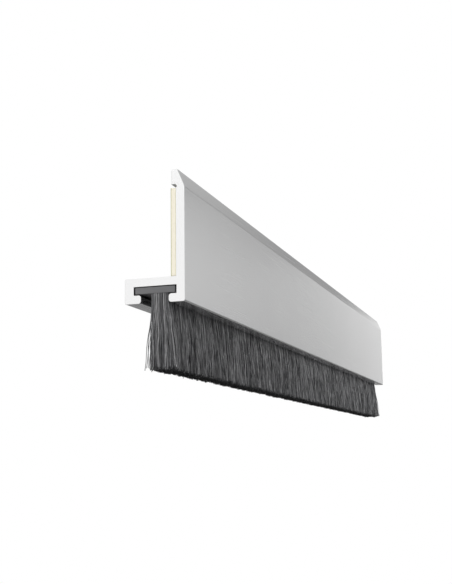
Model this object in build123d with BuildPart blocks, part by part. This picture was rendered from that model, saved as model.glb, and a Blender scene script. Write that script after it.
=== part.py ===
from build123d import *
import os

# Self-adhesive brush seal for the bottom edge of a door, all sizes in millimetres.
#
# +X runs along the seal, -Y is the side that faces the room and +Y is the side that faces the door.
# The origin is the middle of the adhesive face that sticks to the door, at half the length.
# The cross-section is drawn in the YZ plane and each sub-part is extruded both ways along X.

# ---- the cut length and the mounting tape ----
length = 250.0
tape_width = 19.0
foam_thickness = 0.90
adhesive_thickness = 0.05
liner_thickness = 0.08
tape_proud = 0.02  # the adhesive stands this far behind the head, so that it meets the door first

# ---- the brush strip: a moulded back and a pack of filaments fused to its underside ----
back_width = 9.0
back_height = 1.38
pack_thickness = 3.70
pack_offset = -1.0  # the pack stands off the middle of the back, towards the room
tip_thickness = 5.60  # the filaments spread a little towards their tips
exposed_length = 13.9  # from the bottom of the profile to the tips
flex_gap = 0.10  # between the held roots and the half-round top of the bending length

# ---- the aluminium profile around them ----
face_wall = 2.0
slot_front_wall = 1.9
slot_back_wall = 2.05
slot_roof = 1.85
lip_thickness = 1.85
back_lip = 1.65
slot_side_gap = 0.33
slot_height_gap = 0.20
mouth_gap = 0.22  # between the front lip and the filaments
tape_gap = 0.80  # between the top of the tape and the shoulder of the head
head_height = 3.40
chamfer_drop = 3.90
chamfer_setback = 1.65
groove_radius = 0.25
groove_drop = 0.40  # from the shoulder down to the middle of the relief groove

# ---- rounding of the profile's corners ----
corner_round = 0.40
lip_round = 0.60
head_round = 0.50
face_round = 1.20
ridge_round = 0.15

# ---- stations across the seal, from the room to the door ----
tape_thickness = foam_thickness + 2 * adhesive_thickness
wall_y = -tape_thickness
face_y = wall_y - face_wall
head_y = -tape_proud
slot_front_y = face_y + slot_front_wall
back_middle_y = slot_front_y + slot_side_gap + back_width / 2
slot_back_y = back_middle_y + back_width / 2 + slot_side_gap
leg_back_y = slot_back_y + slot_back_wall
pack_y = back_middle_y + pack_offset
mouth_front_y = pack_y - pack_thickness / 2 - mouth_gap
mouth_back_y = slot_back_y - back_lip

# ---- levels, from the top down to the floor ----
tape_top_z = tape_width / 2
leg_top_z = -tape_width / 2
shoulder_z = tape_top_z + tape_gap
top_z = shoulder_z + head_height
roof_z = leg_top_z - slot_roof
back_top_z = roof_z - slot_height_gap
back_bottom_z = back_top_z - back_height
lip_top_z = back_bottom_z - slot_height_gap
bottom_z = lip_top_z - lip_thickness
flex_z = bottom_z - flex_gap - pack_thickness / 2
tip_z = bottom_z - exposed_length

os.makedirs("parts", exist_ok=True)

# ---- carrier profile: face plate, thick head and the C-shaped leg that holds the brush ----
outline = [
    (face_y, bottom_z),
    (face_y, top_z - chamfer_drop),
    (face_y + chamfer_setback, top_z),
    (head_y, top_z),
    (head_y, shoulder_z),
    (wall_y, shoulder_z),
    (wall_y, leg_top_z),
    (leg_back_y, leg_top_z),
    (leg_back_y, bottom_z),
    (mouth_back_y, bottom_z),
    (mouth_back_y, lip_top_z),
    (slot_back_y, lip_top_z),
    (slot_back_y, roof_z),
    (slot_front_y, roof_z),
    (slot_front_y, lip_top_z),
    (mouth_front_y, lip_top_z),
    (mouth_front_y, bottom_z),
]


def corners(sketch, *places):
    """The sketch's corners that stand at the given places of the cross-section."""
    spots = [Vector(0, y, z) for y, z in places]
    return [v for v in sketch.vertices() if min((Vector(*v) - s).length for s in spots) < 1e-3]


with BuildPart() as carrier_profile:
    with BuildSketch(Plane.YZ) as section:
        with BuildLine():
            Polyline(*outline, close=True)
        make_face()
        fillet(corners(section.sketch, outline[0], outline[7], outline[8]), corner_round)
        fillet(corners(section.sketch, outline[1]), face_round)
        fillet(corners(section.sketch, outline[2]), ridge_round)
        fillet(corners(section.sketch, outline[3]), head_round)
        fillet(corners(section.sketch, outline[9], outline[10], outline[15], outline[16]), lip_round)
        with Locations((wall_y, shoulder_z - groove_drop)):
            Circle(groove_radius, mode=Mode.SUBTRACT)
    extrude(amount=length / 2, both=True)
carrier_profile.part.label = "carrier_profile"
export_step(carrier_profile.part, "parts/carrier_profile.step")

# ---- brush back: the moulded bar that slides in the slot ----
with BuildPart() as brush_back:
    with BuildSketch(Plane.YZ):
        with Locations((back_middle_y, (back_top_z + back_bottom_z) / 2)):
            Rectangle(back_width, back_height)
    extrude(amount=length / 2, both=True)
brush_back.part.label = "brush_back"
export_step(brush_back.part, "parts/brush_back.step")

# ---- bristle roots: the stretch of the filaments that the slot's mouth keeps straight ----
with BuildPart() as bristle_roots:
    with BuildSketch(Plane.YZ):
        with Locations((pack_y, (back_bottom_z + bottom_z) / 2)):
            Rectangle(pack_thickness, back_bottom_z - bottom_z)
    extrude(amount=length / 2, both=True)
bristle_roots.part.label = "bristle_roots"
export_step(bristle_roots.part, "parts/bristle_roots.step")

# ---- bristle tips: the free length, half-round on top so that it can lean about flex_z ----
with BuildPart() as bristle_tips:
    with BuildSketch(Plane.YZ):
        with BuildLine():
            lean_top = ThreePointArc(
                (pack_y - pack_thickness / 2, flex_z),
                (pack_y, flex_z + pack_thickness / 2),
                (pack_y + pack_thickness / 2, flex_z),
            )
            Polyline(
                lean_top @ 1,
                (pack_y + tip_thickness / 2, tip_z),
                (pack_y - tip_thickness / 2, tip_z),
                lean_top @ 0,
            )
        make_face()
    extrude(amount=length / 2, both=True)
bristle_tips.part.label = "bristle_tips"
export_step(bristle_tips.part, "parts/bristle_tips.step")

# ---- mounting tape and its liner: four layers stacked from the recessed wall towards the door ----
layers = {
    "tape_adhesive_inner": (wall_y, adhesive_thickness),
    "tape_foam": (wall_y + adhesive_thickness, foam_thickness),
    "tape_adhesive_outer": (-adhesive_thickness, adhesive_thickness),
    "release_liner": (0.0, liner_thickness),
}
for name, (start_y, thickness) in layers.items():
    with BuildPart() as layer:
        with BuildSketch(Plane.YZ):
            with Locations((start_y, leg_top_z)):
                Rectangle(thickness, tape_width, align=(Align.MIN, Align.MIN))
        extrude(amount=length / 2, both=True)
    layer.part.label = name
    export_step(layer.part, f"parts/{name}.step")
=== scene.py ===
# %% [markdown]
# # A brush seal for the bottom of a door
# The seal has three things in it: an aluminium profile, a strip brush that slides in the
# profile's slot, and foam tape that sticks the profile to the door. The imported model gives
# every size and joint, so this lesson starts by loading it and works outwards from there.

from math import radians

import bpy
import numpy as np
from mathutils import Matrix, Vector


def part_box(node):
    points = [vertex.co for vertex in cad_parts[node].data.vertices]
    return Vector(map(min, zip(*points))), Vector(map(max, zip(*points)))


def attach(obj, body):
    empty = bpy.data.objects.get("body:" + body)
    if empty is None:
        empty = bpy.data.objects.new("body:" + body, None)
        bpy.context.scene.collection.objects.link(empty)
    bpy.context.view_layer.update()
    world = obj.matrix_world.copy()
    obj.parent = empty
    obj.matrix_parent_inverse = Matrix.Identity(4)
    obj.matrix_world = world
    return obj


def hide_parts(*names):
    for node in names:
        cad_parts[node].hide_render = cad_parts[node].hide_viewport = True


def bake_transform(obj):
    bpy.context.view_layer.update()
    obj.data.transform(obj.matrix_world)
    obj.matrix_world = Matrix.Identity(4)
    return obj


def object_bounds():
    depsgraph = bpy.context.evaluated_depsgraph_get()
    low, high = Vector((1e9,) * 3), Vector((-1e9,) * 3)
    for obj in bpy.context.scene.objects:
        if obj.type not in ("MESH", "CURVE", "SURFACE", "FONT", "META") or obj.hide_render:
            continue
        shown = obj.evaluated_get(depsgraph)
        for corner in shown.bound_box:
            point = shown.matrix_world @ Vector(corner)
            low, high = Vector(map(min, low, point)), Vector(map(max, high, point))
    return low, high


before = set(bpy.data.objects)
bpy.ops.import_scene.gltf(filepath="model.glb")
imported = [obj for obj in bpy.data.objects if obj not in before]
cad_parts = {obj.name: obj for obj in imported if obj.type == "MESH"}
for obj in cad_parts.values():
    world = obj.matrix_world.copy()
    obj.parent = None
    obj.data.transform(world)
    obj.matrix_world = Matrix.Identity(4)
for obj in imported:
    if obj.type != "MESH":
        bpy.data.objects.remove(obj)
cad_low, cad_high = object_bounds()
MM = 0.001
profile_low, profile_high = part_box("carrier_profile")
LENGTH = profile_high.x - profile_low.x
END_X = LENGTH / 2

# %% [markdown]
# ## The camera
# The seal is seen from below its near end, so that the cut section, the room-side face and
# the bristles all show, and the far end runs away to the right. A constraint could aim the
# camera, but here the angles themselves matter, so they make its matrix. The eye is placed
# from the near bottom corner of the profile. It is then turned about Z to look along the
# seal, tipped up, and rolled by less than a degree, as a hand-held camera is.

# %% Camera
EYE_FROM_NEAR_CORNER = Vector((-188.5, -70.9, -33.1)) * MM
LOOK_ALONG = radians(18.18)
LOOK_UP = radians(9.83)
ROLL = radians(-0.72)
LENS, SENSOR = 60.57, 36.0
NEAREST_SEEN = 10 * MM
QUARTER = radians(90)

camera_data = bpy.data.cameras.new("camera")
camera_data.sensor_width = SENSOR
camera_data.lens = LENS
camera_data.clip_start = NEAREST_SEEN
camera = bpy.data.objects.new("camera", camera_data)
bpy.context.scene.collection.objects.link(camera)
eye = Matrix.Translation(Vector(profile_low) + EYE_FROM_NEAR_CORNER)
turn = Matrix.Rotation(LOOK_ALONG - QUARTER, 4, "Z")
tip_up = Matrix.Rotation(QUARTER + LOOK_UP, 4, "X")
roll = Matrix.Rotation(ROLL, 4, "Z")
camera.matrix_world = eye @ turn @ tip_up @ roll
bpy.context.scene.camera = camera
print(f"the camera stands {EYE_FROM_NEAR_CORNER.length / MM:.0f} mm from the near corner")

# %% [markdown]
# ## Surfaces as arrays
# Everything new here is one of two kinds of surface: a cross-section carried along the
# length, or a bundle of thin bent tubes. Each could be built a face at a time, which is slow
# for thousands of filaments. So both are worked out as whole numpy arrays, and one helper
# puts them into a mesh in one go.

# %% Arrays into a mesh
SMOOTH_BELOW = 35.0


def new_piece(name, points, faces_by_size, smooth_below=SMOOTH_BELOW):
    """Makes a mesh object from an array of points and a list of face arrays. Each face array
    holds the corner numbers of faces that all have the same number of corners. Edges that
    turn by less than smooth_below degrees are shaded smooth."""
    mesh = bpy.data.meshes.new(name)
    corner = np.concatenate([faces.ravel() for faces in faces_by_size])
    sizes = np.concatenate([np.full(len(faces), faces.shape[1]) for faces in faces_by_size])
    mesh.vertices.add(len(points))
    mesh.vertices.foreach_set("co", np.asarray(points, np.float32).ravel())
    mesh.loops.add(len(corner))
    mesh.loops.foreach_set("vertex_index", corner.astype(np.int32))
    mesh.polygons.add(len(sizes))
    starts = np.concatenate([[0], np.cumsum(sizes)[:-1]])
    mesh.polygons.foreach_set("loop_start", starts.astype(np.int32))
    mesh.update(calc_edges=True)
    mesh.validate()
    mesh.shade_smooth()
    mesh.set_sharp_from_angle(angle=radians(smooth_below))
    piece = bpy.data.objects.new(name, mesh)
    bpy.context.scene.collection.objects.link(piece)
    return piece


def store(piece, name, values):
    """Keeps one number for each point of a piece, for its material to read."""
    attribute = piece.data.attributes.new(name, "FLOAT", "POINT")
    attribute.data.foreach_set("value", np.asarray(values, np.float32))


print(f"edges that turn by less than {SMOOTH_BELOW:.0f} degrees are smooth")

# %% [markdown]
# ## Rounded outlines
# A die, a mould or a knife never leaves a perfectly sharp corner, and a rounded one catches
# a thin line of light. A Bevel modifier could round them all alike, but an extrusion has a
# different radius at each corner. So the outline itself gets an arc of its own radius there.


# %% An arc at each corner
def rounded_outline(corners, radii, steps):
    """The outline of a polygon with an arc at each corner. With a and b the directions to the
    corners before and after, and h half the angle between them, an arc of radius r starts
    r / tan(h) along a, ends as far along b, and has its centre r / sin(h) along their
    bisector. Its points turn evenly from the first to the last."""
    corners, radii = np.asarray(corners, float), np.asarray(radii, float)
    before = np.roll(corners, 1, axis=0) - corners
    after = np.roll(corners, -1, axis=0) - corners
    before /= np.linalg.norm(before, axis=1, keepdims=True)
    after /= np.linalg.norm(after, axis=1, keepdims=True)
    half = np.arccos(np.clip((before * after).sum(axis=1), -1, 1)) / 2
    bisector = before + after
    bisector /= np.linalg.norm(bisector, axis=1, keepdims=True)
    centre = corners + bisector * (radii / np.sin(half))[:, None]
    reach = (radii / np.tan(half))[:, None]
    start = corners + before * reach - centre
    end = corners + after * reach - centre
    sweep = np.pi - 2 * half
    share = np.linspace(0, 1, steps + 1)
    first = np.sin(np.outer(sweep, 1 - share)) / np.sin(sweep)[:, None]
    last = np.sin(np.outer(sweep, share)) / np.sin(sweep)[:, None]
    points = centre[:, None] + first[..., None] * start[:, None] + last[..., None] * end[:, None]
    return points.reshape(-1, 2)


ARC_STEPS = 8
coin = rounded_outline([(-1, -1), (1, -1), (1, 1), (-1, 1)], [0.99] * 4, ARC_STEPS)
print(f"a square rounded to a coin has {len(coin)} points, {np.abs(coin).max():.2f} from its middle")

# %% [markdown]
# ## A section carried along
# The profile, the bar and the foam are all one section all along, cut square at both ends.
# A curve with a bevel object would carry a section too. Rings of points do it with full
# control of the ends, where a slightly smaller ring makes the edge that a file leaves.


# %% Rings along X
def inward(outline):
    """Unit vectors that point into an outline that runs anticlockwise: the mean direction of
    the two sides that meet at each point, turned a quarter to the left."""
    along = np.roll(outline, -1, axis=0) - np.roll(outline, 1, axis=0)
    along /= np.linalg.norm(along, axis=1, keepdims=True)
    return np.stack([-along[:, 1], along[:, 0]], axis=1)


def carried_along(name, outline, stations, insets):
    """A closed solid: the outline in Y and Z repeated at each station along X, drawn in by
    that station's inset, with quads between neighbours and one flat face at each end. Twice
    the area, the sum of y times the next z less z times the next y, says which way it runs."""
    following = np.roll(outline, -1, axis=0)
    area = np.sum(outline[:, 0] * following[:, 1] - outline[:, 1] * following[:, 0])
    outline = outline if area > 0 else outline[::-1]
    rings = outline[None] + inward(outline)[None] * np.asarray(insets)[:, None, None]
    count, around = len(stations), len(outline)
    points = np.empty((count, around, 3))
    points[..., 0] = np.asarray(stations)[:, None]
    points[..., 1:] = rings
    ring, spot = np.meshgrid(np.arange(count - 1), np.arange(around), indexing="ij")
    here, beside = ring * around + spot, ring * around + (spot + 1) % around
    sides = np.stack([here, beside, beside + around, here + around], axis=-1).reshape(-1, 4)
    near_end = np.arange(around)[::-1][None]
    far_end = (np.arange(around) + (count - 1) * around)[None]
    return new_piece(name, points.reshape(-1, 3), [sides, near_end, far_end])


SAWN_EDGE = 0.05 * MM
SAWN_STATIONS = [-END_X, -END_X + SAWN_EDGE, END_X - SAWN_EDGE, END_X]
SAWN_INSETS = [SAWN_EDGE, 0.0, 0.0, SAWN_EDGE]
print(f"sawn ends: {SAWN_EDGE / MM:.2f} mm of each edge is filed away")

# %% [markdown]
# ## The aluminium profile
# The profile is an extrusion with a face plate, a thick bevelled head, and a leg turned back
# into a slot for the brush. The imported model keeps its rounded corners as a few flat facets,
# and smoothing those would bend the light on the flat faces too. Drawn again here, each
# corner gets a true arc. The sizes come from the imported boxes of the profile, the tape and
# the brush, with the same running gaps between them.

# %% Profile
SLOT_SIDE_GAP = 0.33 * MM
SLOT_HEIGHT_GAP = 0.20 * MM
MOUTH_GAP = 0.22 * MM
BACK_LIP = 1.65 * MM
SHOULDER_GAP = 0.80 * MM
HEAD_SET = 0.02 * MM
CHAMFER_DROP, CHAMFER_SETBACK = 3.90 * MM, 1.65 * MM
GROOVE_RADIUS, GROOVE_DROP = 0.25 * MM, 0.40 * MM
OUTER_ROUND, INNER_ROUND, LIP_ROUND = 0.40 * MM, 0.06 * MM, 0.60 * MM
HEAD_ROUND, RIDGE_ROUND, FACE_ROUND = 0.50 * MM, 0.15 * MM, 1.20 * MM
GROOVE_ROUND = GROOVE_RADIUS - INNER_ROUND

tape_low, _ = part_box("tape_adhesive_inner")
_, tape_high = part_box("tape_adhesive_outer")
back_low, back_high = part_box("brush_back")
roots_low, roots_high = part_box("bristle_roots")

face_y, leg_y = profile_low.y, profile_high.y
bottom_z, top_z = profile_low.z, profile_high.z
wall_y, head_y = tape_low.y, tape_high.y - HEAD_SET
leg_top_z, shoulder_z = tape_low.z, tape_high.z + SHOULDER_GAP
slot_y, slot_end_y = back_low.y - SLOT_SIDE_GAP, back_high.y + SLOT_SIDE_GAP
roof_z, lip_z = back_high.z + SLOT_HEIGHT_GAP, back_low.z - SLOT_HEIGHT_GAP
mouth_y, mouth_end_y = roots_low.y - MOUTH_GAP, slot_end_y - BACK_LIP
groove_z = shoulder_z - GROOVE_DROP
groove_y = wall_y - GROOVE_RADIUS

# each corner is its y, its z and the radius of its arc
section = [
    (face_y, bottom_z, OUTER_ROUND),
    (mouth_y, bottom_z, LIP_ROUND),
    (mouth_y, lip_z, LIP_ROUND),
    (slot_y, lip_z, INNER_ROUND),
    (slot_y, roof_z, INNER_ROUND),
    (slot_end_y, roof_z, INNER_ROUND),
    (slot_end_y, lip_z, INNER_ROUND),
    (mouth_end_y, lip_z, LIP_ROUND),
    (mouth_end_y, bottom_z, LIP_ROUND),
    (leg_y, bottom_z, OUTER_ROUND),
    (leg_y, leg_top_z, OUTER_ROUND),
    (wall_y, leg_top_z, INNER_ROUND),
    (wall_y, groove_z - GROOVE_RADIUS, INNER_ROUND),
    (groove_y, groove_z - GROOVE_RADIUS, GROOVE_ROUND),
    (groove_y, groove_z + GROOVE_RADIUS, GROOVE_ROUND),
    (wall_y, groove_z + GROOVE_RADIUS, INNER_ROUND),
    (wall_y, shoulder_z, INNER_ROUND),
    (head_y, shoulder_z, INNER_ROUND),
    (head_y, top_z, HEAD_ROUND),
    (face_y + CHAMFER_SETBACK, top_z, RIDGE_ROUND),
    (face_y, top_z - CHAMFER_DROP, FACE_ROUND),
]
section = np.array(section)
profile_outline = rounded_outline(section[:, :2], section[:, 2], ARC_STEPS)
profile = carried_along("profile", profile_outline, SAWN_STATIONS, SAWN_INSETS)
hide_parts("carrier_profile")
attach(profile, "carrier")
print(f"profile: {len(profile_outline)} points round the section, {len(profile.data.polygons)} faces")

# %% [markdown]
# ## The brush back
# The bar that carries the bristles is moulded, so its long corners are soft, and it is cut
# to length with the profile. A cube with a Bevel modifier would do, but the helpers above
# already round a section and file its ends, and they keep both pieces alike.

# %% Brush back
BAR_ROUND = 0.14 * MM


def rectangle(low, high):
    """The four corners of a box's section in Y and Z, anticlockwise from the lowest."""
    return [(low.y, low.z), (high.y, low.z), (high.y, high.z), (low.y, high.z)]


bar_outline = rounded_outline(rectangle(back_low, back_high), [BAR_ROUND] * 4, ARC_STEPS)
bar = carried_along("brush_bar", bar_outline, SAWN_STATIONS, SAWN_INSETS)
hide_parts("brush_back")
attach(bar, "brush_strip")
print(f"brush bar: {(back_high.y - back_low.y) / MM:.1f} by {(back_high.z - back_low.z) / MM:.1f} mm")

# %% [markdown]
# ## Where the filaments stand
# The real pack is thousands of nylon filaments fused to the underside of the bar. A hair
# system would be the usual way to make them, but hair can't ride on two bodies or leave the
# file as a mesh. So each filament is a three-sided tube of its own. The roots stand in a grid
# under the bar, each moved a little at random. Only the outer ones are ever seen whole, so
# the core ones can have fewer rings.

# %% Filament roots
PITCH = 0.19 * MM
FILAMENT_RADIUS = 0.078 * MM
OUTER_ROWS = 3
END_ZONE = 2.2 * MM
ROOT_SINK = 0.05 * MM

tips_low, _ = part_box("bristle_tips")
pack_y = (roots_low.y + roots_high.y) / 2
pack_half = (roots_high.y - roots_low.y) / 2
root_z = back_low.z + ROOT_SINK
tip_z = tips_low.z


def filament_roots(low_x, high_x, rng):
    """Where the filaments of one stretch leave the bar: a grid of PITCH with each root moved by
    up to half a pitch. Also says which roots are outer ones, in the first or last rows or near
    an end of the seal."""
    columns, rows = round((high_x - low_x) / PITCH), round(2 * pack_half / PITCH)
    column, row = np.meshgrid(np.arange(columns), np.arange(rows), indexing="ij")
    jitter = rng.uniform(-0.5, 0.5, (2, columns, rows))
    room_x, room_y = END_X - FILAMENT_RADIUS, pack_half - FILAMENT_RADIUS
    x = low_x + (column + 0.5 + jitter[0]) * (high_x - low_x) / columns
    y = pack_y + room_y * (2 * (row + jitter[1]) / (rows - 1) - 1)
    x, y = np.clip(x, -room_x, room_x), np.clip(y, pack_y - room_y, pack_y + room_y)
    outer = (row < OUTER_ROWS) | (row >= rows - OUTER_ROWS) | (np.abs(x) > END_X - END_ZONE)
    return x.ravel(), y.ravel(), outer.ravel()


print(f"pack: {2 * pack_half / MM:.1f} mm thick, {(root_z - tip_z) / MM:.1f} mm from bar to tips")

# %% [markdown]
# ## Clumps
# Fine filaments cling to their neighbours, so a brush is never evenly spread: it falls into
# little tufts with darker gaps. A noise field could push them about, but it would part
# tufts as readily as it joins them. Here each filament belongs to one tuft, and its tip is
# pulled part of the way to the tuft's middle.

# %% Clumps
CLUMP = 0.42 * MM
CLUMP_LAYERS = 6


def clumps(root_x, across, rng):
    """The pack has CLUMP_LAYERS layers across it, each divided into clumps of length CLUMP with
    borders of its own. This gives the way along X from each root to the middle of its clump,
    and a random number from -1 to 1 for each one's clump."""
    layer = np.clip((across + 1) / 2 * CLUMP_LAYERS, 0, CLUMP_LAYERS - 1).astype(int)
    place = (root_x + END_X) / CLUMP + rng.random(CLUMP_LAYERS)[layer]
    number = np.floor(place).astype(int)
    chance = rng.uniform(-1, 1, (CLUMP_LAYERS, number.max() + 1))
    return (number + 0.5 - place) * CLUMP, chance[layer, number]


print(f"clumps: {LENGTH / CLUMP:.0f} in each of {CLUMP_LAYERS} layers")

# %% [markdown]
# ## The way each filament runs
# A filament leaves the bar straight, because the slot's lips hold the pack. Below the lips
# the pack is free. It spreads by up to a millimetre in front and much less behind, mostly
# just below the lips, and each filament wanders and waves by itself. A hair simulation would
# find such shapes slowly. A sum of a lean, a wander and a sine wave gives them at once. The
# tips are trimmed level, give or take a few tenths of a millimetre. A few strays lean right
# out, more of them at the two ends of the seal.

# %% Centre lines
# painted shade: over this last length a filament's colour is painted nearly black
PAINTED_SHADE_TIP_LENGTH = 0.35 * MM
UNEVEN_CUT, CLUMP_CUT = 0.12 * MM, 0.30 * MM
CLUMP_PULL = 0.2
FRONT_FLARE, BACK_FLARE, FLARE_POWER = 1.0 * MM, 0.18 * MM, 0.6
WANDER_ALONG, WANDER_ACROSS = 0.40 * MM, 0.12 * MM
WAVE = 0.09 * MM
RINGS_PER_WAVE = (4.0, 7.0)
WAVE_START = 3.0
STRAY_SHARE, END_STRAY_SHARE = 0.01, 0.45
STRAY_REACH = 1.2 * MM
STRAYS_FROM = 0.6


def shares_along(rings):
    """Where the rings of a filament stand, from 0 at its root to 1 at its tip: evenly spaced,
    but for the last one, which is only PAINTED_SHADE_TIP_LENGTH below the one before it."""
    tip_share = PAINTED_SHADE_TIP_LENGTH / (root_z - tip_z)
    return np.append(np.linspace(0, 1 - tip_share, rings - 1), 1)


def filament_centres(root_x, root_y, rings, rng):
    """Centre lines, as (filament, ring, xyz), and the random number of each one's clump. Free is
    0 down to the lips and grows evenly to 1 at the tip. X moves by free times the way to its
    tip, which the clump pulls and a random wander moves. Y moves by free to the power
    FLARE_POWER times its lean, which is wide in front, narrow behind and a little random, and
    a stray adds free times its reach. A sine wave of random phase and length is added to both.
    It grows evenly from the root and is whole after 1 / WAVE_START of the length."""
    count = len(root_x)
    across = (root_y - pack_y) / pack_half
    pull, clump = clumps(root_x, across, rng)
    share = shares_along(rings)[None]
    end_z = tip_z + rng.uniform(-1, 1, count) * UNEVEN_CUT + clump * CLUMP_CUT
    z = root_z + (end_z[:, None] - root_z) * share
    free = np.clip((bottom_z - z) / (bottom_z - tip_z), 0, None)
    at_end = np.abs(root_x) > END_X - END_ZONE
    stray_chance = np.where(at_end, END_STRAY_SHARE, STRAY_SHARE) * (np.abs(across) > STRAYS_FROM)
    stray = rng.random(count) < stray_chance
    lean = FRONT_FLARE * np.minimum(across, 0) + BACK_FLARE * np.maximum(across, 0)
    lean = lean + rng.normal(0, WANDER_ACROSS, count)
    reach = np.sign(across) * stray * rng.uniform(0, 1, count) * STRAY_REACH
    tip_x = root_x + pull * CLUMP_PULL + rng.normal(0, WANDER_ALONG, count)
    tip_x = np.clip(tip_x, -END_X, END_X)
    turns = (rings - 1) / rng.uniform(*RINGS_PER_WAVE, (2, count, 1)) * 2 * np.pi
    phase = rng.uniform(0, 2 * np.pi, (2, count, 1))
    wave = np.sin(turns * share[None] + phase) * np.clip(share * WAVE_START, 0, 1)[None] * WAVE
    x = root_x[:, None] + (tip_x - root_x)[:, None] * free + wave[0]
    y = root_y[:, None] + lean[:, None] * free**FLARE_POWER + reach[:, None] * free + wave[1]
    return np.stack([x, y, z], axis=-1), clump


OUTER_RINGS, CORE_RINGS = 13, 5
print(f"rings of an outer filament, from root to tip: {np.round(shares_along(OUTER_RINGS), 2)}")

# %% [markdown]
# ## A cell of the map for each filament
# A finish can be baked to an image only where no two faces share a place in the UV map. A
# Smart Project would take minutes on tubes this many and this thin. But every tube has the
# same faces, so each one can unroll into a square cell of its own, and the whole map is one
# array too.

# %% UV cells
SIDES = 3
CELL_MARGIN = 0.08


def own_cells(piece, count, rings):
    """The UV map OFBake: tube n has cell n of a square grid, with a margin inside the cell. U is
    the share of the way round the tube and V the share of the way up it. Its end caps lie
    along the cell's top and bottom."""
    cells = int(np.ceil(np.sqrt(count)))
    across = np.arange(SIDES + 1) / SIDES
    along = 1 - np.arange(rings) / (rings - 1)
    side_uv = np.empty((count, rings - 1, SIDES, 4, 2))
    side_uv[..., 0] = np.stack([across[:-1], across[1:], across[1:], across[:-1]], axis=-1)
    side_uv[..., 1] = np.stack([along[1:], along[1:], along[:-1], along[:-1]], axis=-1)[:, None]
    lid_uv = np.empty((count, 2, SIDES, 2))
    lid_uv[..., 0] = across[:-1]
    lid_uv[:, 0, :, 1], lid_uv[:, 1, :, 1] = 1.0, 0.0
    place = np.stack([np.arange(count) % cells, np.arange(count) // cells], axis=-1)
    inside = 1 - 2 * CELL_MARGIN
    side_uv = (place[:, None, None, None] + CELL_MARGIN + inside * side_uv) / cells
    lid_uv = (place[:, None, None] + CELL_MARGIN + inside * lid_uv) / cells
    uv = np.concatenate([side_uv.reshape(-1), lid_uv.reshape(-1)]).astype(np.float32)
    piece.data.uv_layers.new(name="OFBake").data.foreach_set("uv", uv)


print(f"{1 - 2 * CELL_MARGIN:.0%} of a cell's width is filled")

# %% [markdown]
# ## Tubes round the centre lines
# Nylon filament is drawn round and thin. Many-sided tubes would cost millions of faces that
# nobody could see, so three sides stand for each, smoothed by shading and twisted a little so
# that they catch the light in different places. Each filament also keeps two numbers for its
# finish. Tone says how pale it is: random, a little paler at the root than at the tip, which is
# painted shade, and paler at the last filaments of each end, which is painted light. Cut marks
# the trimmed tip, whose colour is painted nearly black as painted shade.

# %% Tubes
THINNEST, THICKEST = 0.85, 1.15
MOST_TWIST = 0.5
FILAMENT_SMOOTH_BELOW = 80.0
CLUMP_TONE = 0.05
# painted light: filaments this near an end of the seal are made paler by this much
PAINTED_LIGHT_END_ZONE, PAINTED_LIGHT_END_TONE = 0.6 * MM, 0.22
# painted shade: tone falls by this much from root to tip, paler at the root and darker at the tip
PAINTED_SHADE_TO_TIP = 0.22


def filament_bundle(name, root_x, root_y, rings, palest, rng):
    """Tubes down from the given roots. Round each centre line stand SIDES points at equal
    angles, from a random start that turns by up to MOST_TWIST of a turn on the way down. They
    are joined into tubes with both ends closed. Tone is a random number from 0 to 1, plus the
    clump's share and painted light that makes the last filaments at each end paler, falling
    evenly from root to tip as painted shade, and the whole is scaled by palest."""
    centres, clump = filament_centres(root_x, root_y, rings, rng)
    count = len(centres)
    share = shares_along(rings)
    radius = FILAMENT_RADIUS * rng.uniform(THINNEST, THICKEST, (count, 1, 1))
    twist = rng.uniform(-1, 1, (count, 1, 1)) * MOST_TWIST * share[:, None]
    turned = rng.uniform(0, 1, (count, 1, 1)) + twist
    angle = (turned + np.arange(SIDES) / SIDES) * 2 * np.pi
    points = np.repeat(centres[:, :, None], SIDES, axis=2)
    points[..., 0] += radius * np.cos(angle)
    points[..., 1] += radius * np.sin(angle)

    number = np.arange(count * rings * SIDES).reshape(count, rings, SIDES)
    beside = np.roll(number, -1, axis=2)
    sides = np.stack([number[:, 1:], beside[:, 1:], beside[:, :-1], number[:, :-1]], axis=-1)
    lids = np.stack([number[:, 0], number[:, -1][:, ::-1]], axis=1)
    faces = [sides.reshape(-1, 4), lids.reshape(-1, SIDES)]
    piece = new_piece(name, points.reshape(-1, 3), faces, FILAMENT_SMOOTH_BELOW)

    # painted light: the filaments nearest each end of the seal are paler
    painted_lit_end = np.abs(root_x) > END_X - PAINTED_LIGHT_END_ZONE
    tone = rng.random(count) + CLUMP_TONE * clump + PAINTED_LIGHT_END_TONE * painted_lit_end
    # painted shade: tone falls evenly from root to tip
    tone = palest * np.clip(tone[:, None] + PAINTED_SHADE_TO_TIP * (0.5 - share), 0, 1)
    store(piece, "tone", np.repeat(tone.ravel(), SIDES))
    # cut is 1 at the tip ring, where the finish makes the filament matt and paints its colour nearly
    # black as painted shade
    at_tip = np.arange(rings) == rings - 1
    store(piece, "cut", np.tile(np.repeat(at_tip, SIDES), count))
    own_cells(piece, count, rings)
    return piece


print(f"a filament has {SIDES} sides and is about {2 * FILAMENT_RADIUS / MM:.2f} mm thick")

# %% [markdown]
# ## The bristles
# One mesh could hold the whole brush, but smaller ones are easier to handle, so the pack is
# made in four stretches, each with an outer and a core bundle. Little light gets between the
# core filaments, so their tone is painted darker, as painted shade. The pack crosses the joint
# where the free length leans.
# Here the bundles are attached to no body and stay where they are built.

# %% Bundles
STRETCHES = 4
FIRST_SEED = 11
# painted shade: the core bundles' tone is scaled down, as little light gets between them
OUTER_TONE, CORE_PAINTED_SHADE = 1.0, 0.25

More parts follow.
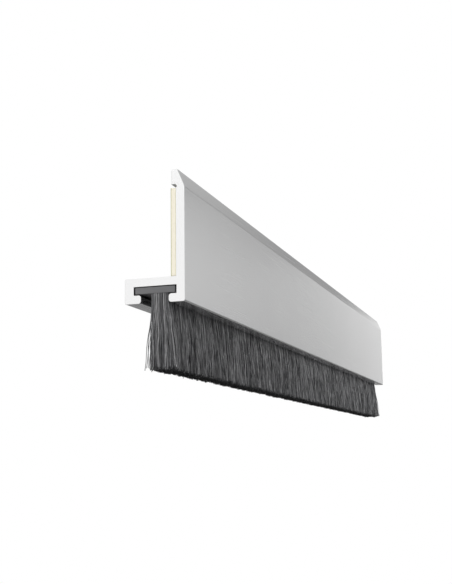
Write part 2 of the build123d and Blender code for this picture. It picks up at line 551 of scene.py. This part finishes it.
bundles = []
for i in range(STRETCHES):
    rng = np.random.default_rng(FIRST_SEED + i)
    low_x = -END_X + i * LENGTH / STRETCHES
    root_x, root_y, outer = filament_roots(low_x, low_x + LENGTH / STRETCHES, rng)
    for kind, chosen, rings, palest in (
        ("outer", outer, OUTER_RINGS, OUTER_TONE),
        ("core", ~outer, CORE_RINGS, CORE_PAINTED_SHADE),
    ):
        name = f"bristles_{kind}_{i + 1}"
        bundle = filament_bundle(name, root_x[chosen], root_y[chosen], rings, palest, rng)
        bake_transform(bundle)
        bundles.append(bundle)
        print(f"{bundle.name}: {chosen.sum()} filaments, {len(bundle.data.polygons)} faces")
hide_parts("bristle_roots", "bristle_tips")

# %% [markdown]
# ## The foam tape
# The tape's core is a strip of closed-cell foam, slit from a wide roll. A plain box would
# look like plastic: foam yields to the knife, so its corners are round and its edges aren't
# quite straight. Three slow sine waves of different lengths never repeat together, and they
# draw the whole section in by a hair's breadth here and there.

# %% Foam
FOAM_STATIONS = 240
FOAM_ROUND = 0.3
FOAM_WANDER = 0.012 * MM
# each wave is its length over a full turn, and its phase
FOAM_WAVES = [(3.1 * MM, 0.4), (7.7 * MM, 1.9), (1.3 * MM, 2.6)]

foam_low, foam_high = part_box("tape_foam")
foam_thickness = foam_high.y - foam_low.y
foam_outline = rounded_outline(
    rectangle(foam_low, foam_high), [FOAM_ROUND * foam_thickness] * 4, ARC_STEPS
)
foam_x = np.linspace(-END_X, END_X, FOAM_STATIONS)
foam_waves = sum(np.sin(foam_x / length + phase) for length, phase in FOAM_WAVES)
foam_insets = FOAM_WANDER * (foam_waves / len(FOAM_WAVES) + 1)
foam = carried_along("foam_tape", foam_outline, foam_x, foam_insets)
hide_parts("tape_foam")
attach(foam, "carrier")
print(f"foam: {(foam_high.z - foam_low.z) / MM:.0f} by {foam_thickness / MM:.1f} mm")

# %% [markdown]
# ## The liner
# The liner is thin paper that covers the adhesive until the seal is fitted. A flat box would
# swing away like a door when it is peeled. So it is a closed sheet with rows of quads along
# its length. Here it is attached to no body.

# %% Liner
LINER_COLUMNS, LINER_ROWS = 260, 8
liner_low, liner_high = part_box("release_liner")


def thin_sheet(name, low, high, columns, rows):
    """A closed sheet in the XZ plane: one grid on each face, joined round the rim. A point of
    the grid is the low corner plus its share of the sheet's length and height."""
    x = np.linspace(low.x, high.x, columns + 1)
    z = np.linspace(low.z, high.z, rows + 1)
    grid_x, grid_z = np.meshgrid(x, z, indexing="ij")
    front = np.stack([grid_x, np.full_like(grid_x, low.y), grid_z], axis=-1)
    back = np.stack([grid_x, np.full_like(grid_x, high.y), grid_z], axis=-1)
    points = np.concatenate([front.reshape(-1, 3), back.reshape(-1, 3)])
    number = np.arange(front[..., 0].size).reshape(columns + 1, rows + 1)
    near, far = number[:-1], number[1:]
    cells = np.stack([near[:, :-1], far[:, :-1], far[:, 1:], near[:, 1:]], axis=-1).reshape(-1, 4)
    rim = np.concatenate([number[:, 0], number[-1, 1:], number[-2::-1, -1], number[0, -2:0:-1]])
    after = np.roll(rim, -1)
    other = number.size
    edge = np.stack([rim + other, after + other, after, rim], axis=-1)
    return new_piece(name, points, [np.concatenate([cells, cells[:, ::-1] + other, edge])])


liner = thin_sheet("liner", liner_low, liner_high, LINER_COLUMNS, LINER_ROWS)
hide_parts("release_liner")
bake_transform(liner)

# %% [markdown]
# ## Building blocks for the finishes
# A finish is a tree of nodes, and the trees here share a few moves: mix two colours, spread a
# value between two ends, press a height into the surface. Written once as small functions,
# they keep each finish short enough to read at a glance.


# %% Node helpers
def add(tree, kind, place, **settings):
    """A new node of a kind at a place, with its own settings, such as its operation."""
    node = tree.nodes.new(kind)
    node.location = place
    for name, value in settings.items():
        setattr(node, name, value)
    return node


def new_material(name):
    """A material, its node tree, and the Principled shader in it."""
    material = bpy.data.materials.new(name)
    material.use_nodes = True
    return material, material.node_tree, material.node_tree.nodes["Principled BSDF"]


def between(tree, value, low, high, place, from_low=0.0, from_high=1.0):
    """A value that runs from low to high as another runs from from_low to from_high."""
    node = add(tree, "ShaderNodeMapRange", place)
    tree.links.new(value, node.inputs["Value"])
    node.inputs["From Min"].default_value = from_low
    node.inputs["From Max"].default_value = from_high
    node.inputs["To Min"].default_value = low
    node.inputs["To Max"].default_value = high
    return node.outputs["Result"]


def colour_socket(node, name):
    """The colour socket of a mix node, which has number and vector sockets of the same name."""
    sockets = node.outputs if name == "Result" else node.inputs
    return next(socket for socket in sockets if socket.name == name and socket.type == "RGBA")


def tinted(tree, factor, first, second, place):
    """A colour that runs from the first to the second as the factor runs from 0 to 1. Each of
    the two is a red, green and blue, or another node's output."""
    node = add(tree, "ShaderNodeMix", place, data_type="RGBA")
    tree.links.new(factor, node.inputs["Factor"])
    for name, colour in (("A", first), ("B", second)):
        if isinstance(colour, tuple):
            colour_socket(node, name).default_value = (*colour, 1)
        else:
            tree.links.new(colour, colour_socket(node, name))
    return colour_socket(node, "Result")


def ramp_of(tree, value, stops, place):
    """A colour picked by a value from 0 to 1, out of stops of a position and a colour."""
    ramp = add(tree, "ShaderNodeValToRGB", place)
    elements = ramp.color_ramp.elements
    elements.remove(elements[1])
    elements[0].position = stops[0][0]
    elements[0].color = (*stops[0][1], 1)
    for position, colour in stops[1:]:
        elements.new(position).color = (*colour, 1)
    tree.links.new(value, ramp.inputs["Fac"])
    return ramp.outputs["Color"]


def press_in(tree, shader, height, strength, depth, place=(-200, -500)):
    """A height from 0 to 1, of a depth in metres, as a bump in the shader's normal."""
    bump = add(tree, "ShaderNodeBump", place)
    bump.inputs["Strength"].default_value = strength
    bump.inputs["Distance"].default_value = depth
    tree.links.new(height, bump.inputs["Height"])
    tree.links.new(bump.outputs[0], shader.inputs["Normal"])


helpers = (add, new_material, between, colour_socket, tinted, ramp_of, press_in)
print("node helpers:", [helper.__name__ for helper in helpers])

# %% [markdown]
# ## Grain, shared by every finish
# Each of these parts is drawn, extruded, coated or moulded in one direction, so each shows
# some grain along its length. An image of brushed metal would need a map on every piece.
# Noise on Object coordinates needs none, and dividing the coordinates along one direction
# draws the noise out into lines. One node group does it for all, and each finish sets its
# own values.

# %% Long grain
FINE_DETAIL, CLOUD_DETAIL = 4.0, 3.0


def new_group(name, inputs, outputs):
    """A node group with inputs of a name and kind and outputs that are numbers, and the node
    at each side of it."""
    tree = bpy.data.node_groups.new(name, "ShaderNodeTree")
    for socket_name, kind in inputs:
        tree.interface.new_socket(socket_name, in_out="INPUT", socket_type="NodeSocket" + kind)
    for socket_name in outputs:
        tree.interface.new_socket(socket_name, in_out="OUTPUT", socket_type="NodeSocketFloat")
    inside = add(tree, "NodeGroupInput", (-900, 0))
    outside = add(tree, "NodeGroupOutput", (400, 0))
    return tree, inside, outside


def grain_group():
    """Long grain: noise whose coordinates are divided by Stretch, a number for each direction.
    Fine is the grain itself, and Cloud is large soft noise that is not stretched."""
    inputs = (("Scale", "Float"), ("Stretch", "Vector"), ("Cloud Scale", "Float"))
    tree, inside, outside = new_group("long_grain", inputs, ("Fine", "Cloud"))
    where = add(tree, "ShaderNodeTexCoord", (-900, 300))
    scaled = add(tree, "ShaderNodeVectorMath", (-300, 200), operation="DIVIDE")
    fine = add(tree, "ShaderNodeTexNoise", (-100, 200))
    fine.inputs["Detail"].default_value = FINE_DETAIL
    cloud = add(tree, "ShaderNodeTexNoise", (-100, -150))
    cloud.inputs["Detail"].default_value = CLOUD_DETAIL
    link = tree.links.new
    link(where.outputs["Object"], scaled.inputs[0])
    link(inside.outputs["Stretch"], scaled.inputs[1])
    link(scaled.outputs[0], fine.inputs["Vector"])
    link(inside.outputs["Scale"], fine.inputs["Scale"])
    link(where.outputs["Object"], cloud.inputs["Vector"])
    link(inside.outputs["Cloud Scale"], cloud.inputs["Scale"])
    link(fine.outputs[0], outside.inputs["Fine"])
    link(cloud.outputs[0], outside.inputs["Cloud"])
    return tree


GRAIN = grain_group()


def grain_in(tree, scale, stretch, cloud_scale, place=(-900, 0)):
    """The grain group in a material, with its own values."""
    node = add(tree, "ShaderNodeGroup", place, node_tree=GRAIN)
    node.inputs["Scale"].default_value = scale
    node.inputs["Stretch"].default_value = stretch
    node.inputs["Cloud Scale"].default_value = cloud_scale
    return node


print("node group:", GRAIN.name)

# %% [markdown]
# ## Sawn ends, shared by the profile and the liner
# A saw leaves its own surface: the coat is gone from the metal, and the blade's arcs show. The
# ends could be given a second material, but a mask from the distance along X keeps each
# piece to one. The arcs are rings round a centre far below the section, where the blade's
# axle was.

# %% Sawn ends
SAWN_DEPTH = 0.01 * MM
BLADE_BELOW = (0.0, 0.03, 0.11)
SAW_WOBBLE, SAW_DETAIL = 1.5, 3.0


def sawn_group():
    """Sawn ends: Mask is 1 where X is more than Half Length from the middle and 0 elsewhere, and
    Marks are rings of even width round the blade's axle."""
    inputs = (("Half Length", "Float"), ("Marks Scale", "Float"))
    tree, inside, outside = new_group("sawn_end", inputs, ("Mask", "Marks"))
    where = add(tree, "ShaderNodeTexCoord", (-900, 300))
    split = add(tree, "ShaderNodeSeparateXYZ", (-700, 200))
    size = add(tree, "ShaderNodeMath", (-500, 200), operation="ABSOLUTE")
    mask = add(tree, "ShaderNodeMath", (-300, 200), operation="GREATER_THAN")
    centre = add(tree, "ShaderNodeMapping", (-700, -150))
    centre.inputs["Location"].default_value = BLADE_BELOW
    rings = add(tree, "ShaderNodeTexWave", (-300, -150), wave_type="RINGS", rings_direction="X")
    rings.inputs["Distortion"].default_value = SAW_WOBBLE
    rings.inputs["Detail"].default_value = SAW_DETAIL
    link = tree.links.new
    link(where.outputs["Object"], split.inputs[0])
    link(split.outputs["X"], size.inputs[0])
    link(size.outputs[0], mask.inputs[0])
    link(inside.outputs["Half Length"], mask.inputs[1])
    link(where.outputs["Object"], centre.inputs["Vector"])
    link(centre.outputs[0], rings.inputs["Vector"])
    link(inside.outputs["Marks Scale"], rings.inputs["Scale"])
    link(mask.outputs[0], outside.inputs["Mask"])
    link(rings.outputs["Fac"], outside.inputs["Marks"])
    return tree


SAWN = sawn_group()


def sawn_in(tree, marks_scale, place=(-900, -400)):
    """The sawn end group in a material, with its mask starting SAWN_DEPTH inside the end."""
    node = add(tree, "ShaderNodeGroup", place, node_tree=SAWN)
    node.inputs["Half Length"].default_value = END_X - SAWN_DEPTH
    node.inputs["Marks Scale"].default_value = marks_scale
    return node


print("node group:", SAWN.name)

# %% [markdown]
# ## Anodised aluminium
# A satin anodised face is a metal whose shine is spread out by very fine lines left by the
# extrusion die. The shader's Anisotropic setting could spread it one way, but few files
# carry that setting along. So the lines themselves are there: grain stretched far along X,
# in the roughness and the bump. The sawn ends were cut after anodising: they are bare metal,
# brighter, with faint saw arcs.

# %% Aluminium
# a grain is its scale, its stretch and its cloud's scale, and a relief its strength and depth
DULL_METAL, BRIGHT_METAL = (0.70, 0.70, 0.703), (0.75, 0.75, 0.752)
SAWN_METAL = (0.86, 0.86, 0.86)
METAL_GRAIN = (7000.0, (260.0, 1.0, 1.0), 26.0)
METAL_SAW_MARKS = 900.0
METAL_ROUGH = (0.22, 0.30)
METAL_RELIEF = (0.15, 0.012 * MM)


def aluminium():
    """Satin metal with die lines along X, and bare metal with saw arcs at the ends."""
    material, tree, shader = new_material("anodised_aluminium")
    link = tree.links.new
    shader.inputs["Metallic"].default_value = 1.0
    grain = grain_in(tree, *METAL_GRAIN)
    sawn = sawn_in(tree, METAL_SAW_MARKS)
    coat = tinted(tree, grain.outputs["Cloud"], DULL_METAL, BRIGHT_METAL, (-500, 250))
    cut = tinted(tree, sawn.outputs["Mask"], coat, SAWN_METAL, (-250, 250))
    link(cut, shader.inputs["Base Color"])
    rough = between(tree, grain.outputs["Fine"], *METAL_ROUGH, (-500, -100))
    link(rough, shader.inputs["Roughness"])
    height = add(tree, "ShaderNodeMix", (-500, -400), data_type="FLOAT")
    link(sawn.outputs["Mask"], height.inputs["Factor"])
    link(grain.outputs["Fine"], height.inputs["A"])
    link(sawn.outputs["Marks"], height.inputs["B"])
    press_in(tree, shader, height.outputs["Result"], *METAL_RELIEF)
    return material


profile.data.materials.append(aluminium())
print("profile finish:", profile.data.materials[0].name)

# %% [markdown]
# ## The moulded bar
# The bar is dark grey moulded plastic, with a slight grain along it and a soft sheen. A
# single flat colour would look like a hole in the bright section. A cloud of two close greys
# and a fine grain in the relief make it read as plastic. The adhesive and the liner are
# finished in the same way, so one function makes all three.

# %% Bar plastic
BAR_DARK, BAR_PALE = (0.087, 0.087, 0.09), (0.143, 0.143, 0.147)
BAR_GRAIN = (2600.0, (30.0, 1.0, 1.0), 300.0)
BAR_ROUGH = (0.45, 0.65)
BAR_RELIEF = (0.4, 0.02 * MM)


def grained(name, first, second, grain_values, rough_by, rough, relief_by, relief):
    """A finish whose colour follows the cloud of the grain, with its roughness and relief by
    Fine or Cloud."""
    material, tree, shader = new_material(name)
    grain = grain_in(tree, *grain_values)
    tint = tinted(tree, grain.outputs["Cloud"], first, second, (-450, 200))
    tree.links.new(tint, shader.inputs["Base Color"])
    spread = between(tree, grain.outputs[rough_by], *rough, (-450, -100))
    tree.links.new(spread, shader.inputs["Roughness"])
    press_in(tree, shader, grain.outputs[relief_by], *relief)
    return material


bar_plastic = grained(
    "bar_plastic", BAR_DARK, BAR_PALE, BAR_GRAIN, "Fine", BAR_ROUGH, "Fine", BAR_RELIEF
)
bar.data.materials.append(bar_plastic)
print("bar finish:", bar.data.materials[0].name)

# %% [markdown]
# ## The filaments
# The bristles are black nylon, and each filament's tone differs at random. Most are dark, and
# a few are painted pale, as painted highlights where they would turn a side to the light. A
# random number by object can't tell them apart, because a bundle is one object, so each one's
# tone comes from the number stored with it. A little noise drawn out down the filament paints
# glints into its colour, which are painted highlights. The trimmed tips face the floor: they
# are matt, and their colour is painted nearly black, which is painted shade.

# %% Filament plastic
# tones picked at random for each filament; the palest stops are painted highlights
FILAMENT_TONE_AND_HIGHLIGHT_STOPS = [
    (0.0, (0.026, 0.026, 0.028)),
    (0.5, (0.085, 0.086, 0.09)),
    (0.8, (0.20, 0.20, 0.205)),
    (1.0, (0.34, 0.34, 0.345)),
]
# painted shade: the colour of the cut tips, nearly black
PAINTED_SHADE_TIP_COLOUR = (0.008, 0.008, 0.009)
FILAMENT_GRAIN = (5500.0, (1.0, 1.0, 8.0), 900.0)
# noise mixed into the colour as painted glints, which are painted highlights
PAINTED_GLINT_FROM, PAINTED_GLINT_TO, PAINTED_GLINT_SHARE = 0.35, 0.65, 0.25
FILAMENT_ROUGH = (0.40, 0.60)


def filament_plastic():
    """Black plastic whose colour is picked by tone, mixed with a share of noise that paints
    glints as painted highlights, and painted nearly black at the cut tips as painted shade.
    """
    material, tree, shader = new_material("filament_plastic")
    link = tree.links.new
    tone = add(tree, "ShaderNodeAttribute", (-1100, 200), attribute_name="tone").outputs["Fac"]
    cut = add(tree, "ShaderNodeAttribute", (-900, -100), attribute_name="cut").outputs["Fac"]
    grain = grain_in(tree, *FILAMENT_GRAIN, place=(-1300, -100))
    # painted glints: stretched noise that brightens the colour along each filament
    painted_glint = between(tree, grain.outputs["Fine"], 0.0, 1.0, (-1100, -100), PAINTED_GLINT_FROM, PAINTED_GLINT_TO)
    both = add(tree, "ShaderNodeMix", (-900, 100), data_type="FLOAT")
    both.inputs["Factor"].default_value = PAINTED_GLINT_SHARE
    link(tone, both.inputs["A"])
    link(painted_glint, both.inputs["B"])
    side = ramp_of(tree, both.outputs["Result"], FILAMENT_TONE_AND_HIGHLIGHT_STOPS, (-700, 200))
    # painted shade: the cut tip's colour is painted nearly black
    colour = tinted(tree, cut, side, PAINTED_SHADE_TIP_COLOUR, (-400, 200))
    link(colour, shader.inputs["Base Color"])
    dull = add(tree, "ShaderNodeMath", (-400, -350), operation="MAXIMUM")
    link(between(tree, tone, *FILAMENT_ROUGH, (-700, -350)), dull.inputs[0])
    link(cut, dull.inputs[1])
    link(dull.outputs[0], shader.inputs["Roughness"])
    return material


filament_finish = filament_plastic()
for bundle in bundles:
    bundle.data.materials.append(filament_finish)
print(f"filament finish: {filament_finish.name}, on {len(bundles)} bundles")

# %% [markdown]
# ## Foam
# Closed-cell foam shows its cells where the knife opened them, as small round pits. Modelled
# pits would need millions of faces. A Voronoi texture is zero in the middle of each cell and
# grows to its walls, so it roughens and sinks each pit in one go, and darkens its colour
# towards the middle as painted shade.

# %% Foam finish
# painted shade: the pit colour is darker than the wall colour
FOAM_PIT_SHADE, FOAM_WALL = (0.78, 0.735, 0.60), (0.87, 0.825, 0.70)
FOAM_CELLS = 5200.0
FOAM_ROUGH = (0.75, 0.95)
FOAM_RELIEF = (0.5, 0.04 * MM)


def foam_finish():
    """Cream foam with pits: colour, roughness and height by the distance from a cell's middle.
    The colour is darker towards a pit's middle, which is painted shade.
    """
    material, tree, shader = new_material("closed_cell_foam")
    link = tree.links.new
    where = add(tree, "ShaderNodeTexCoord", (-1100, 0))
    cells = add(tree, "ShaderNodeTexVoronoi", (-900, 0))
    cells.inputs["Scale"].default_value = FOAM_CELLS
    link(where.outputs["Object"], cells.inputs["Vector"])
    distance = cells.outputs["Distance"]
    link(tinted(tree, distance, FOAM_PIT_SHADE, FOAM_WALL, (-450, 200)), shader.inputs["Base Color"])
    link(between(tree, distance, *FOAM_ROUGH, (-450, -100)), shader.inputs["Roughness"])
    press_in(tree, shader, distance, *FOAM_RELIEF)
    return material


foam.data.materials.append(foam_finish())
print("foam finish:", foam.data.materials[0].name)

# %% [markdown]
# ## Adhesive
# The two coats of adhesive are as thin as a hair, yellowish and slightly glossy. They keep
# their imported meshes, because flat coats have nothing to add, and take only a finish: the
# same kind as the bar's, with the cloud alone in its relief, as a spread coat has no grain.

# %% Adhesive finish
ADHESIVE_DARK, ADHESIVE_PALE = (0.75, 0.72, 0.47), (0.82, 0.79, 0.56)
ADHESIVE_GRAIN = (1500.0, (8.0, 1.0, 1.0), 400.0)
ADHESIVE_ROUGH = (0.15, 0.35)
ADHESIVE_RELIEF = (0.3, 0.03 * MM)

adhesive = grained(
    "acrylic_adhesive", ADHESIVE_DARK, ADHESIVE_PALE, ADHESIVE_GRAIN,
    "Cloud", ADHESIVE_ROUGH, "Cloud", ADHESIVE_RELIEF,
)
for name in ("tape_adhesive_inner", "tape_adhesive_outer"):
    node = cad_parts[name]
    node.material_slots[0].material = adhesive
print("adhesive finish:", adhesive.name)

# %% [markdown]
# ## Liner paper
# The liner is paper with a silicone skin: pale yellow, a little mottled by its fibres, and
# smooth enough for a soft shine. Its cut end is a thin dark line, greener than its face. The
# face is the grained finish again, and the sawn ends' mask lays the line over it.

# %% Liner finish
PAPER_DARK, PAPER_PALE = (0.76, 0.75, 0.47), (0.84, 0.83, 0.58)
PAPER_EDGE = (0.14, 0.17, 0.0)
PAPER_GRAIN = (2400.0, (5.0, 1.0, 1.0), 260.0)
PAPER_SAW_MARKS = 900.0
PAPER_ROUGH = (0.32, 0.55)
PAPER_RELIEF = (0.25, 0.015 * MM)


def liner_finish():
    """The grained finish with its colour passed through the mask of the sawn ends."""
    material = grained(
        "siliconised_paper", PAPER_DARK, PAPER_PALE, PAPER_GRAIN,
        "Fine", PAPER_ROUGH, "Fine", PAPER_RELIEF,
    )
    tree = material.node_tree
    base_colour = tree.nodes["Principled BSDF"].inputs["Base Color"]
    face = base_colour.links[0].from_socket
    sawn = sawn_in(tree, PAPER_SAW_MARKS)
    edge = tinted(tree, sawn.outputs["Mask"], face, PAPER_EDGE, (-250, 200))
    tree.links.new(edge, base_colour)
    return material


liner.data.materials.append(liner_finish())
print("liner finish:", liner.data.materials[0].name)

# %% [markdown]
# ## The floor
# The seal hangs on a door, so the floor is a wide pale disc well below it. A white floor would
# throw light back up at the underside of the slot, which is dark on the real thing. So the
# floor is grey to the lamps and glows only for the camera, more towards its rim, where it
# melts into the white room.

# %% Floor
FLOOR_DEPTH, FLOOR_RADIUS = 0.45, 1.1
FLOOR_SIDES, FLOOR_RINGS = 96, 12
FLOOR_HOLE = 0.02
FLOOR_GREY = (0.35, 0.35, 0.35, 1)
FLOOR_ROUGH = 0.9
FLOOR_GLOW = (0.5, 1.0)
WHITE = (1, 1, 1, 1)


def disc(name, radius, z):
    """A flat disc of rings of quads: a point is at radius times the ring's share, turned by
    the side's share of a full turn. One face closes the small hole in the middle."""
    share = np.linspace(FLOOR_HOLE, 1, FLOOR_RINGS)
    angle = np.arange(FLOOR_SIDES) * 2 * np.pi / FLOOR_SIDES
    x = radius * np.outer(share, np.cos(angle))
    y = radius * np.outer(share, np.sin(angle))
    points = np.stack([x, y, np.full_like(x, z)], axis=-1).reshape(-1, 3)
    number = np.arange(FLOOR_RINGS * FLOOR_SIDES).reshape(FLOOR_RINGS, FLOOR_SIDES)
    beside = np.roll(number, -1, axis=1)
    cells = np.stack([number[:-1], number[1:], beside[1:], beside[:-1]], axis=-1).reshape(-1, 4)
    return new_piece(name, points, [cells, number[0][None]])


def pale_floor():
    """Grey for every ray but the camera's, which also meets a glow that grows with the distance
    from the middle."""
    material, tree, shader = new_material("pale_floor")
    link = tree.links.new
    shader.inputs["Base Color"].default_value = FLOOR_GREY
    shader.inputs["Roughness"].default_value = FLOOR_ROUGH
    shader.inputs["Emission Color"].default_value = WHITE
    where = add(tree, "ShaderNodeTexCoord", (-900, -300))
    from_middle = add(tree, "ShaderNodeVectorMath", (-700, -300), operation="LENGTH")
    link(where.outputs["Object"], from_middle.inputs[0])
    distance = from_middle.outputs["Value"]
    glow = between(tree, distance, *FLOOR_GLOW, (-500, -300), from_high=FLOOR_RADIUS)
    ray = add(tree, "ShaderNodeLightPath", (-500, -600))
    shown = add(tree, "ShaderNodeMath", (-250, -300), operation="MULTIPLY")
    link(glow, shown.inputs[0])
    link(ray.outputs["Is Camera Ray"], shown.inputs[1])
    link(shown.outputs[0], shader.inputs["Emission Strength"])
    return material


floor = disc("floor", FLOOR_RADIUS, tip_z - FLOOR_DEPTH)
floor.data.materials.append(pale_floor())
print(f"floor: {FLOOR_DEPTH / MM:.0f} mm below the tips")

# %% [markdown]
# ## The lamps
# Satin metal mirrors its lamps, so they are large and soft, and small bright ones would leave
# hard spots. One above the near end lights the sawn section. One far along the seal is
# mirrored, softly, in the far end of the face. One on the room side and one overhead fill in.
# The brush needs light from the front, where a lamp would burn a patch into the face, so
# that lamp is linked to the filaments alone.

# %% Lamps
middle = (cad_low + cad_high) / 2
near_end = Vector((-END_X, middle.y, middle.z))
far_end = Vector((END_X, middle.y, middle.z))
# each lamp is its place, what it looks at, its width and height, and its brightness
LAMPS = {
    "near_end_light": ((-0.60, 0.05, 0.70), near_end, 0.7, 0.7, 3.2),
    "far_panel": ((1.6, 0.075, 0.13), middle, 0.7, 0.47, 0.98),
    "room_panel": ((1.42, -0.78, 0.3), middle, 0.4, 0.4, 0.42),
    "brush_fill": ((0.09, -0.26, 0.03), far_end, 0.3, 0.3, 1.9),
    "top_light": ((0.0, 0.3, 1.0), middle, 1.0, 1.0, 0.6),
}


def soft_light(name, place, target, width, height, brightness):
    """A rectangular soft light that looks from a place at a target. Its power is its
    brightness times its area times pi, so a brightness of 1 looks white."""
    data = bpy.data.lights.new(name, "AREA")
    data.shape = "RECTANGLE"
    data.size, data.size_y = width, height
    data.energy = brightness * width * height * np.pi
    lamp = bpy.data.objects.new(name, data)
    lamp.visible_camera = False
    bpy.context.scene.collection.objects.link(lamp)
    place = Vector(place)
    facing = (target - place).to_track_quat("-Z", "Y").to_matrix().to_4x4()
    lamp.matrix_world = Matrix.Translation(place) @ facing
    return lamp


lamps = {name: soft_light(name, *values) for name, values in LAMPS.items()}
brush_only = bpy.data.collections.new("brush_only")
for bundle in bundles:
    brush_only.objects.link(bundle)
lamps["brush_fill"].light_linking.receiver_collection = brush_only
print("lamps:", list(lamps))

# %% [markdown]
# ## The room
# The rest of the light comes from the room. It is white on the side of the near end, and
# greyer on the side of the far end and below, which shades the long face from end to end. An
# image of a real room could give this, but two ramps are easier to tune, one by the direction
# along X and one by the direction up. They are multiplied. The camera itself sees plain
# white behind the seal.

# %% Room
# each stop is a part of the direction, from -1 to 1, and the brightness there
ALONG_BRIGHTNESS = [
    (-1.0, 1.12),
    (-0.4, 1.0),
    (0.0, 0.8),
    (0.7, 0.60),
    (0.9, 0.49),
    (0.95, 0.43),
    (1.0, 0.43),
]
UP_BRIGHTNESS = [
    (-1.0, 0.22),
    (-0.4, 0.34),
    (-0.15, 0.5),
    (0.0, 0.9),
    (0.18, 1.0),
    (0.33, 0.74),
    (0.45, 1.12),
    (1.0, 0.9),
]

world = bpy.data.worlds.new("white_room")
bpy.context.scene.world = world
world.use_nodes = True
room = world.node_tree
link = room.links.new


def brightness_by(part, stops, place):
    """Brightness of the room by one part of the direction, moved from -1..1 to 0..1."""
    share = between(room, part, 0.0, 1.0, (place[0] - 200, place[1]), from_low=-1.0)
    greys = [((at + 1) / 2, (value, value, value)) for at, value in stops]
    return ramp_of(room, share, greys, place)


direction = add(room, "ShaderNodeTexCoord", (-1100, 0))
parts = add(room, "ShaderNodeSeparateXYZ", (-900, 0))
link(direction.outputs["Generated"], parts.inputs[0])
both = add(room, "ShaderNodeMix", (-150, 0), data_type="RGBA", blend_type="MULTIPLY")
both.inputs["Factor"].default_value = 1.0
link(brightness_by(parts.outputs["X"], ALONG_BRIGHTNESS, (-450, 150)), colour_socket(both, "A"))
link(brightness_by(parts.outputs["Z"], UP_BRIGHTNESS, (-450, -150)), colour_socket(both, "B"))
lit = room.nodes["Background"]
link(colour_socket(both, "Result"), lit.inputs["Color"])
seen = add(room, "ShaderNodeBackground", (0, -200))
seen.inputs["Color"].default_value = WHITE
ray = add(room, "ShaderNodeLightPath", (0, 300))
choose = add(room, "ShaderNodeMixShader", (250, 0))
link(ray.outputs["Is Camera Ray"], choose.inputs[0])
link(lit.outputs[0], choose.inputs[1])
link(seen.outputs[0], choose.inputs[2])
link(choose.outputs[0], room.nodes["World Output"].inputs["Surface"])
bpy.context.scene.view_settings.view_transform = "Standard"
print(f"room: {len(ALONG_BRIGHTNESS)} stops along, {len(UP_BRIGHTNESS)} stops up")
